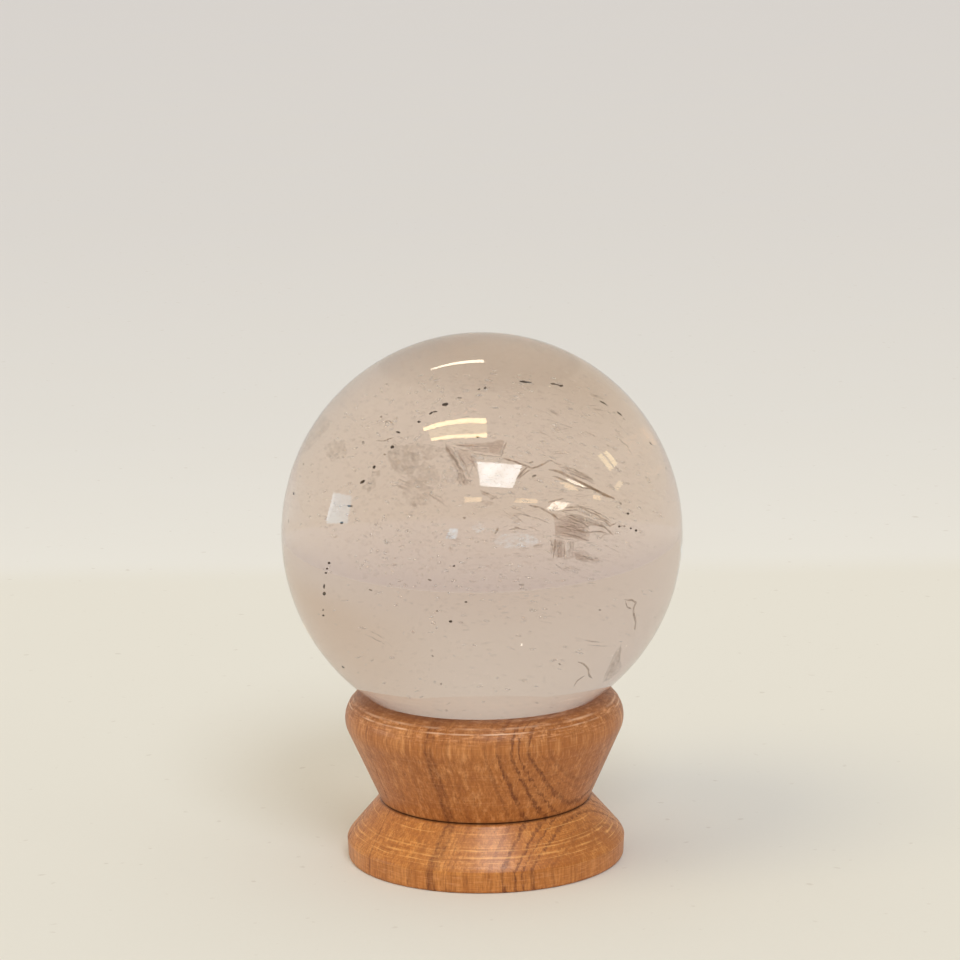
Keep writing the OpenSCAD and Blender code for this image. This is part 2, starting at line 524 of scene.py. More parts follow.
def wood_material():
    m, n = material("turned_wood")
    tc = n.add("ShaderNodeTexCoord").outputs["Object"]
    mm = n.scaled(tc, (1000, 1000, 1000))
    sep = n.add("ShaderNodeSeparateXYZ", ins={"Vector": mm})
    z = sep.outputs[2]

    def centred(fac, amount):
        return n.math("MULTIPLY", n.math("SUBTRACT", fac, 0.5), amount)

    # growth layers are upright planes; c is the distance across them in mm
    c = n.vmath("DOT_PRODUCT", mm, (0.83, -0.557, 0.0))
    slow = n.noise(n.scaled(mm, (0.05, 0.05, 0.03)), 1.0, 2)
    jag = n.noise(n.scaled(mm, (1.2, 1.2, 0.26)), 1.0, 3, 0.65)
    jag2 = n.noise(n.scaled(mm, (3.6, 3.6, 0.9)), 1.0, 2, 0.6)
    cc = n.math("ADD", c, centred(slow, 2.6))
    cj = n.math("ADD", n.math("ADD", cc, centred(jag, 1.15)), centred(jag2, 0.32))

    def band(at, width):
        x = n.math("DIVIDE", n.math("SUBTRACT", cc, at), width)
        return n.math("POWER", 2.718, n.math("MULTIPLY", n.math("MULTIPLY", x, x), -1.0))

    bands = n.math("ADD", band(18.9, 2.8), n.math("ADD", n.math("MULTIPLY", band(5.0, 1.5), 0.9), n.math("ADD", n.math("MULTIPLY", band(-9.5, 1.8), 0.2), n.math("MULTIPLY", band(-20.0, 1.6), 0.5))))
    lines = n.remap(n.noise1(cj, 0.92, 2, 0.7), 0.50, 0.66)
    finer = n.remap(n.noise1(cj, 2.3, 2, 0.6), 0.48, 0.68)
    # fibres, pores and short dark flecks along the trunk
    fib = n.noise(n.scaled(mm, (2.6, 2.6, 0.22)), 1.0, 4, 0.70)
    fib2 = n.noise(n.scaled(mm, (1.05, 1.05, 0.09)), 1.0, 3, 0.60)
    dash = n.noise(n.scaled(mm, (2.6, 2.6, 0.45)), 1.0, 1, 0.5)
    mid = n.noise(n.scaled(mm, (0.72, 0.72, 0.15)), 1.0, 3, 0.66)
    patch = n.noise(n.scaled(mm, (0.11, 0.11, 0.08)), 1.0, 2)
    blot = n.noise(n.scaled(mm, (0.55, 0.55, 0.40)), 1.0, 3, 0.6)
    # rings left by the tool
    ring = n.noise1(n.math("ADD", z, centred(n.noise(n.scaled(mm, (0.12, 0.12, 0.3)), 1.0, 1), 0.5)), 2.3, 3, 0.7)
    broken = n.remap(n.noise(n.scaled(mm, (0.20, 0.20, 1.6)), 1.0, 2), 0.42, 0.60)
    foot = n.remap(z, 11.2, 10.6)
    edge_band = n.remap(z, 3.9, 3.3)
    on_cone = n.math("SUBTRACT", foot, edge_band)
    calm = n.math("SUBTRACT", 1.0, n.math("MULTIPLY", edge_band, 0.55))
    ring_at = n.math("MULTIPLY", n.math("MULTIPLY", n.remap(ring, 0.50, 0.66), broken), n.math("ADD", 0.35, n.math("MULTIPLY", on_cone, 0.65)))

    def hair(at, width, weight):
        x = n.math("DIVIDE", n.math("SUBTRACT", cj, at), width)
        return n.math("MULTIPLY", n.math("POWER", 2.718, n.math("MULTIPLY", n.math("MULTIPLY", x, x), -1.0)), weight)

    dark = n.math("MULTIPLY", lines, n.math("ADD", 0.30, n.math("MULTIPLY", bands, 1.55)), clamp=True)
    dark = n.math("MAXIMUM", dark, n.math("MAXIMUM", hair(4.3, 0.42, 1.0), hair(5.5, 0.34, 0.85)))
    dark = n.math("MULTIPLY", dark, n.remap(n.noise(n.scaled(mm, (0.9, 0.9, 0.30)), 1.0, 2, 0.6), 0.36, 0.52, 0.32, 1.0))
    dark = n.math("MULTIPLY", dark, n.remap(fib, 0.30, 0.60, 0.45, 1.0))

    col = n.mix(n.remap(n.noise1(cc, 0.17, 2), 0.35, 0.65), (0.545, 0.212, 0.052), (0.455, 0.165, 0.037))
    col = n.mix(n.remap(patch, 0.35, 0.7, 0, 0.50), col, (0.45, 0.155, 0.032))
    col = n.mix(n.remap(patch, 0.46, 0.30, 0, 0.45), col, (0.68, 0.31, 0.10))
    col = n.mix(n.remap(blot, 0.42, 0.68, 0, 0.30), col, (0.36, 0.120, 0.024))
    east = n.math("MULTIPLY", n.math("ADD", n.math("MULTIPLY", band(24.2, 1.3), 0.75), n.math("MULTIPLY", n.remap(cc, 17.0, 27.0), 0.55), clamp=True), n.math("SUBTRACT", 1.0, edge_band))
    col = n.mix(n.math("MULTIPLY", east, n.math("ADD", 0.35, n.math("MULTIPLY", foot, 0.5))), col, (0.335, 0.100, 0.014))
    col = n.mix(n.math("MULTIPLY", n.remap(mid, 0.49, 0.68, 0, 0.70), calm), col, (0.31, 0.100, 0.022))
    col = n.mix(n.math("MULTIPLY", n.remap(mid, 0.48, 0.31, 0, 0.50), calm), col, (0.74, 0.36, 0.130))
    col = n.mix(n.math("MULTIPLY", n.remap(fib2, 0.42, 0.66, 0, 0.48), calm), col, (0.335, 0.108, 0.022))
    col = n.mix(n.math("MULTIPLY", finer, 0.32), col, (0.30, 0.095, 0.020))
    col = n.mix(n.remap(fib, 0.47, 0.70, 0, 0.60), col, (0.27, 0.085, 0.018))
    col = n.mix(n.remap(fib, 0.47, 0.27, 0, 0.32), col, (0.74, 0.36, 0.135))
    col = n.mix(n.math("MULTIPLY", dark, 0.94), col, (0.150, 0.040, 0.009))
    col = n.mix(n.remap(dash, 0.64, 0.76, 0, 0.55), col, (0.20, 0.060, 0.013))
    col = n.mix(n.math("MULTIPLY", ring_at, 0.68), col, (0.30, 0.098, 0.018))
    ring_light = n.math("MULTIPLY", n.remap(ring, 0.46, 0.34), n.math("ADD", 0.15, n.math("MULTIPLY", on_cone, 0.45)))
    ring_light = n.math("MULTIPLY", ring_light, n.remap(n.noise(n.scaled(mm, (0.22, 0.22, 1.1)), 1.0, 2), 0.40, 0.60, 0.12, 1.0))
    col = n.mix(n.math("MULTIPLY", ring_light, 0.74), col, (0.82, 0.44, 0.18))
    # short turned marks on the rim's round and on the foot's band
    zone = n.math("MAXIMUM", n.math("MULTIPLY", n.remap(z, 27.2, 29.6), 1.0), n.math("MULTIPLY", edge_band, 0.40))
    mark = n.noise(n.scaled(mm, (0.42, 0.42, 2.9)), 1.0, 3, 0.62)
    col = n.mix(n.math("MULTIPLY", n.remap(mark, 0.50, 0.66, 0, 0.56), zone), col, (0.225, 0.068, 0.016))
    col = n.mix(n.math("MULTIPLY", n.remap(mark, 0.46, 0.31, 0, 0.52), zone), col, (0.80, 0.42, 0.20))
    # painted light: the foot below the groove and its bottom band are painted lighter than the cone above, for the
    # light that falls on them; the cone gets its own tint
    painted_light_lift = n.mix(foot, (1.105, 1.075, 1.15), (1.17, 1.10, 0.82))
    painted_light_lift = n.mix(edge_band, painted_light_lift, (1.20, 1.17, 1.14))
    col = n.mix(1.0, col, painted_light_lift, "MULTIPLY")
    # painted shade: the rounded rim is painted a little darker and pinker on top, next to the ball
    col = n.mix(n.remap(z, 30.4, 31.7, 0, 0.50), col, (0.30, 0.110, 0.048))
    # two fine turned beads below the crest, real relief in the outline, also get a painted highlight: pale lines
    # painted along them
    outside = n.remap(n.vmath("LENGTH", n.vmath("MULTIPLY", mm, (1, 1, 0))), 23.2, 23.8)
    bead_painted_highlight = n.math("ADD", n.remap(n.math("ABSOLUTE", n.math("SUBTRACT", z, 29.95)), 0.16, 0.04), n.math("MULTIPLY", n.remap(n.math("ABSOLUTE", n.math("SUBTRACT", z, 30.75)), 0.20, 0.05), 0.7))
    col = n.mix(n.math("MULTIPLY", n.math("MULTIPLY", n.math("MULTIPLY", bead_painted_highlight, outside), n.remap(n.noise(n.scaled(mm, (0.16, 0.16, 0.5)), 1.0, 2), 0.42, 0.58, 0.10, 1.0)), 0.66), col, (0.95, 0.62, 0.42))
    # painted shade: the groove is painted dark under the upper cone's overhang
    gr = n.math("ABSOLUTE", n.math("SUBTRACT", z, 11.4))
    rad = n.math("SQRT", n.math("ADD", n.math("MULTIPLY", sep.outputs[0], sep.outputs[0]), n.math("MULTIPLY", sep.outputs[1], sep.outputs[1])))
    groove_painted_shade = n.math("MULTIPLY", n.remap(gr, 0.7, 0.3), n.remap(rad, 20.1, 19.7))
    col = n.mix(n.math("MULTIPLY", groove_painted_shade, 0.92), col, (0.075, 0.022, 0.008))
    hgt = n.math("ADD", n.math("MULTIPLY", fib, 0.8), n.math("ADD", n.math("MULTIPLY", n.remap(dash, 0.62, 0.74), -0.6), n.math("MULTIPLY", dark, -0.3)))
    hgt = n.math("ADD", hgt, n.math("MULTIPLY", n.noise1(z, 1.9, 2, 0.6), n.math("ADD", 0.5, n.math("MULTIPLY", on_cone, 1.3))))
    bump = n.add("ShaderNodeBump", ins={"Strength": 0.5, "Distance": 0.00008, "Height": hgt})
    rough = n.remap(n.math("ADD", fib, n.math("MULTIPLY", dark, 0.4)), 0.3, 0.9, 0.38, 0.60)
    b = n.add("ShaderNodeBsdfPrincipled", ins={
        "Base Color": col, "Roughness": rough, "Specular IOR Level": 0.30,
        "Coat Weight": 0.20, "Coat Roughness": 0.22, "Normal": bump.outputs[0]})
    n.add("ShaderNodeOutputMaterial", ins={"Surface": b.outputs[0]})
    return m


# ------------------------------------------------------------------ sphere
def cube_sphere(name, radius, k):
    verts, faces, index = [], [], {}

    def vid(p):
        key = (round(p[0] * k), round(p[1] * k), round(p[2] * k))
        if key not in index:
            q = [math.tan(c * math.pi / 4) for c in p]
            v = Vector(q).normalized() * radius
            index[key] = len(verts)
            verts.append((v.x, v.y, v.z + CZ))
        return index[key]

    for ax in range(3):
        for sgn in (-1, 1):
            for i in range(k):
                for j in range(k):
                    quad_ids = []
                    for di, dj in ((0, 0), (1, 0), (1, 1), (0, 1)):
                        p = [0, 0, 0]
                        p[ax] = sgn
                        p[(ax + 1) % 3] = (i + di) * 2 / k - 1
                        p[(ax + 2) % 3] = (j + dj) * 2 / k - 1
                        quad_ids.append(vid(p))
                    faces.append(tuple(quad_ids) if sgn > 0 else tuple(reversed(quad_ids)))
    return new_mesh(name, verts, faces)


def build_sphere():
    o = cube_sphere("quartz_polished", R, 110)
    m, n = material("clear_quartz")
    tc = n.add("ShaderNodeTexCoord").outputs["Object"]
    mm = n.scaled(tc, (1000, 1000, 1000))
    rough = n.remap(n.noise(mm, 0.25, 3, 0.6), 0.50, 0.80, 0.042, 0.056)      # handling marks dull the polish a little here and there
    b = n.add("ShaderNodeBsdfPrincipled", ins={
        "Base Color": (1, 1, 1, 1), "Roughness": rough, "IOR": IOR, "Transmission Weight": 1.0})
    va = n.add("ShaderNodeVolumeAbsorption", ins={"Color": (0.616, 0.306, 0.146, 1), "Density": 8.0})
    n.add("ShaderNodeOutputMaterial", ins={"Surface": b.outputs[0], "Volume": va.outputs[0]})
    o.data.materials.append(m)
    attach(o, "root")
    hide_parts("quartz_sphere")
    return o


# ------------------------------------------------------------------ what the stone holds
def stone_material(name, color, lo, hi, grain=1.2, rough=0.5, tint=None, stretch=(1, 1, 1)):
    """A thin crack or solid inside the stone. Its cover changes from place to place between lo and hi."""
    m, n = material(name)
    tc = n.add("ShaderNodeTexCoord").outputs["Object"]
    mm = n.scaled(tc, (1000, 1000, 1000))
    fac = n.noise(n.scaled(mm, stretch), grain, 3, 0.6)
    cover = n.remap(fac, 0.36, 0.64, lo, hi)
    shade = n.noise(mm, grain * 1.7, 2)
    col = n.mix(n.remap(shade, 0.3, 0.7), color, tint or tuple(min(1.0, c * 1.7) for c in color))
    b = n.add("ShaderNodeBsdfPrincipled", ins={"Base Color": col, "Roughness": rough, "Specular IOR Level": 0.2, "Alpha": cover})
    n.add("ShaderNodeOutputMaterial", ins={"Surface": b.outputs[0]})
    return m


def mirror_material(name, color, lo, hi, rough=0.05):
    """A crack with air in it: a thin silvery film that mirrors a lamp."""
    m, n = material(name)
    tc = n.add("ShaderNodeTexCoord").outputs["Object"]
    mm = n.scaled(tc, (1000, 1000, 1000))
    cover = n.remap(n.noise(mm, 1.6, 3, 0.6), 0.35, 0.65, lo, hi)
    bump = n.add("ShaderNodeBump", ins={"Strength": 0.10, "Distance": 0.00004, "Height": n.noise(mm, 2.2, 2)})
    b = n.add("ShaderNodeBsdfPrincipled", ins={"Base Color": (*color, 1), "Metallic": 1.0, "Roughness": rough, "Alpha": cover, "Normal": bump.outputs[0]})
    n.add("ShaderNodeOutputMaterial", ins={"Surface": b.outputs[0]})
    return m


class Bits:
    """Collects many small closed bodies into one mesh."""

    def __init__(self):
        self.v, self.f = [], []

    def lump(self, c, a1, a2, a3, seed, rings=6, sides=9, rough=0.32):
        """One closed, rounded grain round c, with half axes a1, a2 and a3."""
        k = len(self.v)

        def at(x, y, z):
            f = 1 + rough * noise.noise(Vector((x * 1.3 + seed * 3.7, y * 1.3 + seed * 1.9, z * 1.3)))
            return c + (a1 * x + a2 * y + a3 * z) * f

        self.v.append(at(-1, 0, 0))
        for i in range(1, rings):
            t = math.pi * i / rings
            for j in range(sides):
                q = 2 * math.pi * j / sides
                self.v.append(at(-math.cos(t), math.sin(t) * math.cos(q), math.sin(t) * math.sin(q)))
        self.v.append(at(1, 0, 0))
        last, new = len(self.v) - 1, []
        for j in range(sides):
            h = (j + 1) % sides
            new.append((k, k + 1 + h, k + 1 + j))
            new.append((last, last - sides + j, last - sides + h))
        for i in range(rings - 2):
            for j in range(sides):
                a, b = k + 1 + i * sides + j, k + 1 + i * sides + (j + 1) % sides
                new.append((a, b, b + sides, a + sides))
        if a1.cross(a2).dot(a3) < 0:
            new = [tuple(reversed(q)) for q in new]
        self.f += new

    def rod(self, pts, radii, sides=5):
        """A thin rod along points with its own thickness at each, closed at both ends."""
        k0, n = len(self.v), len(pts)
        for i, p in enumerate(pts):
            t = (pts[min(i + 1, n - 1)] - pts[max(i - 1, 0)]).normalized()
            s = t.cross(Vector((0.21, 0.35, 0.91))).normalized()
            w = t.cross(s)
            for j in range(sides):
                a = 2 * math.pi * j / sides
                self.v.append(p + (s * math.cos(a) + w * math.sin(a)) * radii[i])
        for i in range(n - 1):
            for j in range(sides):
                a, b = k0 + i * sides + j, k0 + i * sides + (j + 1) % sides
                self.f.append((a, b, b + sides, a + sides))
        self.f.append(tuple(k0 + j for j in reversed(range(sides))))
        self.f.append(tuple(k0 + (n - 1) * sides + j for j in range(sides)))

    def flake(self, front, back):
        """A closed flake between two outlines with the same number of corners."""
        k, m = len(self.v), len(front)
        self.v += list(front) + list(back)
        self.f.append(tuple(range(k, k + m)))
        self.f.append(tuple(reversed(range(k + m, k + 2 * m))))
        for i in range(m):
            j = (i + 1) % m
            self.f.append((k + i, k + m + i, k + m + j, k + j))

    def done(self, name, mat):
        o = new_mesh(name, self.v, self.f, False)
        o.data.materials.append(mat)
        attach(o, "root")
        return o


def grain_axes(u, v, d, angle, hl, ht):
    """Middle and half axes of a grain that shows at (u, v), hl by ht two-hundredths of the radius, its length at angle."""
    c = inside(u, v, d)
    g = (inside(u, v, d + 0.01) - c).normalized()
    out = []
    for a, size in ((angle, hl), (angle + 90, ht)):
        x, y = math.cos(math.radians(a)) * 0.004, math.sin(math.radians(a)) * 0.004
        s = (inside(u + x, v + y, d) - inside(u - x, v - y, d)) / 0.008
        s -= g * s.dot(g)
        # near the ball's edge a place is stretched many times over, which a real grain is not
        out.append(s * (min(1.0, 1.1 * R / s.length) * size * 0.005))
    return c, out[0], out[1], g * (0.3 * out[0].length + 0.7 * out[1].length)


def sheet(bits, poly, depth, tilt=(0.0, 0.0), thick=0.00006, cut=2, rough_edge=0.004, seed=1):
    """A thin flake whose outline shows at poly; tilt leans it away towards the right and up."""
    rng = random.Random(seed)
    pts = []
    for a, b in zip(poly, poly[1:] + poly[:1]):
        for s in range(cut):
            t = s / cut
            j = 0.0 if s == 0 else rough_edge
            pts.append((a[0] + (b[0] - a[0]) * t + rng.uniform(-j, j), a[1] + (b[1] - a[1]) * t + rng.uniform(-j, j)))
    cu, cv = sum(p[0] for p in pts) / len(pts), sum(p[1] for p in pts) / len(pts)
    front, back = [], []
    for u, v in pts:
        d = min(0.95, max(0.02, depth + tilt[0] * (u - cu) + tilt[1] * (v - cv)))
        p = inside(u, v, d)
        w = (inside(u, v, d + 0.01) - p).normalized()
        front.append(p)
        back.append(p + w * thick)
    bits.flake(front, back)


def thread(bits, line, depth, width, lean=0.0, wiggle=0.0015, seed=0, taper=0.35):
    """A needle or crack edge that shows along line, width in two-hundredths of the radius."""
    rng = random.Random(seed)
    pts = []
    for (u0, v0), (u1, v1) in zip(line[:-1], line[1:]):
        k = max(2, int(math.hypot(u1 - u0, v1 - v0) / 0.015))
        pts += [(u0 + (u1 - u0) * i / k, v0 + (v1 - v0) * i / k) for i in range(k)]
    pts.append(line[-1])
    n = len(pts)
    out, radii = [], []
    for i, (u, v) in enumerate(pts):
        s = i / (n - 1)
        u += rng.uniform(-1, 1) * wiggle
        v += rng.uniform(-1, 1) * wiggle
        d = depth + lean * s
        p = inside(u, v, d)
        unit = (inside(u + 0.01, v, d) - p).length / 0.01      # metres that one radius across shows as, here
        end = min(1.0, min(s, 1 - s) / 0.12)
        out.append(p)
        radii.append(max(2e-6, width * 0.005 / 2 * unit * (taper + (1 - taper) * end) * rng.uniform(0.75, 1.2)))
    bits.rod(out, radii)


def lamp_direction(p, target, start):
    """Direction inside the stone from p that leaves it towards target."""
    c = Vector((0, 0, CZ))
    s = start.normalized()
    for _ in range(60):
        b = (p - c).dot(s)
        t = -b + math.sqrt(max(0.0, b * b - ((p - c).length_squared - R * R)))
        q = p + s * t
        m = (q - c) / R
        ci = s.dot(m)
        k = 1 - IOR * IOR * (1 - ci * ci)
        if k <= 0:
            s = (s + m * 0.2).normalized()
            continue
        o = (s * IOR - m * (IOR * ci - math.sqrt(k))).normalized()
        s = (s + ((target - q).normalized() - o) * 0.45).normalized()
    return s


def facet(bits, poly, depth, target, thick=0.00003):
    """A flat crack that mirrors the lamp at target and shows at poly."""
    cu, cv = sum(p[0] for p in poly) / len(poly), sum(p[1] for p in poly) / len(poly)
    p0 = inside(cu, cv, depth)
    w0 = (inside(cu, cv, depth + 0.01) - p0).normalized()
    s = lamp_direction(p0, target, target - p0)
    nrm = (s - w0).normalized()
    front, back = [], []
    for u, v in poly:
        a, b = inside(u, v, 0.0), inside(u, v, 1.0)
        d = (b - a).normalized()
        t = (p0 - a).dot(nrm) / d.dot(nrm)
        front.append(a + d * t)
        back.append(a + d * t - nrm * thick)
    bits.flake(front, back)


def lamp_spot(u, v, distance):
    p, d = mirrored(u, v)
    return p + d * distance


def build_specks():
    rng = random.Random(11)
    dark = stone_material("speck_dark", (0.030, 0.017, 0.006), 1.0, 1.0, 3.0, tint=(0.11, 0.065, 0.022))
    soft = stone_material("speck_soft", (0.20, 0.14, 0.09), 0.25, 0.60, 2.0)
    b, s = Bits(), Bits()
    # where it shows, half length and half thickness in two-hundredths of the radius, slope in degrees, darkness
    marks = [
        ((-0.184, 0.642), 3.4, 1.7, 8, 1), ((-0.254, 0.599), 2.2, 1.1, 35, 1), ((-0.234, 0.606), 2.4, 0.8, 5, 1),
        ((-0.314, 0.556), 1.7, 1.1, 0, 1), ((-0.417, 0.504), 2.2, 1.1, -18, 1), ((-0.447, 0.431), 2.0, 1.7, 30, 1),
        ((-0.484, 0.394), 1.1, 0.9, 0, 0), ((-0.537, 0.331), 1.8, 1.4, 55, 1), ((-0.595, 0.257), 2.9, 1.4, 38, 1),
        ((-0.658, 0.137), 2.6, 1.1, -5, 1), ((-0.699, 0.053), 1.8, 1.3, 10, 1), ((-0.937, 0.199), 1.4, 1.9, 10, 1),
        ((-0.023, 0.481), 1.8, 1.1, 0, 1), ((0.015, 0.724), 1.5, 1.2, 30, 1), ((-0.015, 0.718), 1.4, 0.9, 30, 1),
        ((-0.111, 0.675), 2.6, 0.8, 0, 0), ((0.219, 0.754), 5.8, 1.0, -3, 1), ((0.199, 0.757), 3.0, 0.8, 8, 1),
        ((0.354, 0.745), 2.6, 1.0, -6, 1), ((0.393, 0.736), 2.4, 1.2, 0, 1), ((0.373, 0.741), 3.8, 0.6, -10, 1),
        ((0.601, 0.652), 3.6, 1.1, -30, 1), ((0.62, 0.64), 1.8, 0.7, -20, 0), ((0.684, 0.597), 3.4, 1.1, -38, 1),
        ((0.707, 0.57), 1.6, 0.7, -40, 0), ((0.838, 0.45), 2.3, 1.1, -50, 1), ((0.916, 0.326), 1.5, 1.3, 0, 0),
        ((-0.761, -0.147), 1.5, 1.3, 0, 1), ((-0.771, -0.175), 1.2, 1.0, 0, 1), ((-0.777, -0.196), 1.3, 1.0, 0, 1),
        ((-0.786, -0.264), 1.0, 2.5, 0, 1), ((-0.785, -0.299), 1.6, 2.0, 0, 1), ((-0.791, -0.381), 1.1, 1.2, 0, 0),
        ((-0.79, -0.408), 1.3, 1.1, 0, 1), ((-0.156, -0.438), 1.8, 1.4, 0, 1), ((-0.08, -0.341), 1.4, 0.8, 0, 1),
        ((-0.139, -0.162), 1.3, 0.9, 0, 1), ((-0.692, -0.665), 1.7, 1.2, -35, 1), ((-0.204, -0.749), 1.1, 1.1, 0, 0),
        ((0.796, -0.585), 1.5, 1.2, 20, 1), ((-0.889, 0.345), 1.0, 1.1, 0, 0), ((-0.591, 0.454), 1.3, 1.4, 0, 0),
        ((-0.502, 0.581), 1.2, 1.0, 0, 0), ((-0.964, 0.062), 1.0, 2.0, 0, 0), ((0.197, -0.256), 2.8, 0.8, -4, 0),
        ((0.587, -0.381), 1.2, 0.8, 0, 0), ((-0.261, -0.231), 2.0, 0.9, -20, 0), ((0.386, -0.65), 1.2, 0.7, -30, 0),
        ((-0.246, -0.61), 1.4, 0.7, -30, 0), ((-0.224, -0.386), 1.3, 0.7, 0, 0), ((-0.555, -0.281), 2.0, 0.8, -25, 0),
        ((0.726, 0.099), 1.3, 1.2, 0, 1), ((0.688, 0.151), 2.0, 1.0, -40, 0), ((0.683, 0.035), 1.2, 1.2, 0, 1),
        ((0.709, 0.036), 1.0, 1.0, 0, 0), ((0.741, 0.026), 1.1, 1.0, 0, 1), ((0.767, 0.015), 1.4, 1.3, 10, 1),
        ((0.26, 0.287), 2.4, 1.2, 20, 0), ((0.244, 0.354), 2.4, 1.0, 15, 0), ((-0.087, 0.078), 1.4, 1.0, 0, 0),
    ]
    made = 0
    for (u, v), hl, ht, ang, kind in marks:
        d = rng.uniform(0.05, 0.30)
        c, a1, a2, a3 = grain_axes(u, v, d, ang, hl, ht * 0.95)
        made += 1
        (b if kind else s).lump(c, a1, a2, a3, made)
    b.done("specks_dark", dark)
    s.done("specks_soft", soft)


def build_flecks():
    """Thousands of short pale-brown dashes all through the stone, thinner out towards its lower part."""
    rng = random.Random(5)
    soft = stone_material("fleck_grey", (0.33, 0.215, 0.14), 0.004, 0.036, 0.9)
    pale = stone_material("fleck_pale", (0.98, 0.95, 0.92), 0.06, 0.30, 0.9)
    b, p = Bits(), Bits()
    made = 0
    while made < 4200:
        u, v = rng.uniform(-1, 1), rng.uniform(-1, 1)
        r = math.hypot(u, v)
        if r > 0.975:
            continue
        arc = -0.455 + 0.69 * (u - 0.03) ** 2
        keep = (1.0 if v > -0.18 else 0.62) if v > arc else 0.28
        if u < -0.2 and v > 0.1:
            keep = 1.0
        if v > 0.78:
            keep *= 0.35
        if r > 0.90:
            keep *= 0.5
        if rng.random() > keep:
            continue
        made += 1
        round_one = u < -0.15 and rng.random() < 0.65
        hl = rng.uniform(1.2, 3.2) if round_one else rng.uniform(1.6, 5.4)
        ht = rng.uniform(1.0, 2.4) if round_one else rng.uniform(0.8, 1.9)
        if r > 0.8:
            hl, ht = hl * 0.75, ht * 0.75
        slope = -34 * max(0.0, u) * (0.4 + max(0.0, v)) * 1.4 + rng.gauss(0, 9 if u > -0.15 else 28)
        c, sn = math.cos(math.radians(slope)) * hl * 0.005, math.sin(math.radians(slope)) * hl * 0.005
        d = rng.uniform(0.03, 0.55) if rng.random() < 0.85 else rng.uniform(0.55, 0.85)
        if math.hypot(u - c, v - sn) > 0.985 or math.hypot(u + c, v + sn) > 0.985:
            continue
        c, a1, a2, a3 = grain_axes(u, v, d, slope, hl * 0.88, ht * 0.74)
        (p if rng.random() < 0.22 else b).lump(c, a1, a2, a3, made % 97, 4, 6, 0.30)
    b.done("flecks_grey", soft)
    p.done("flecks_pale", pale)


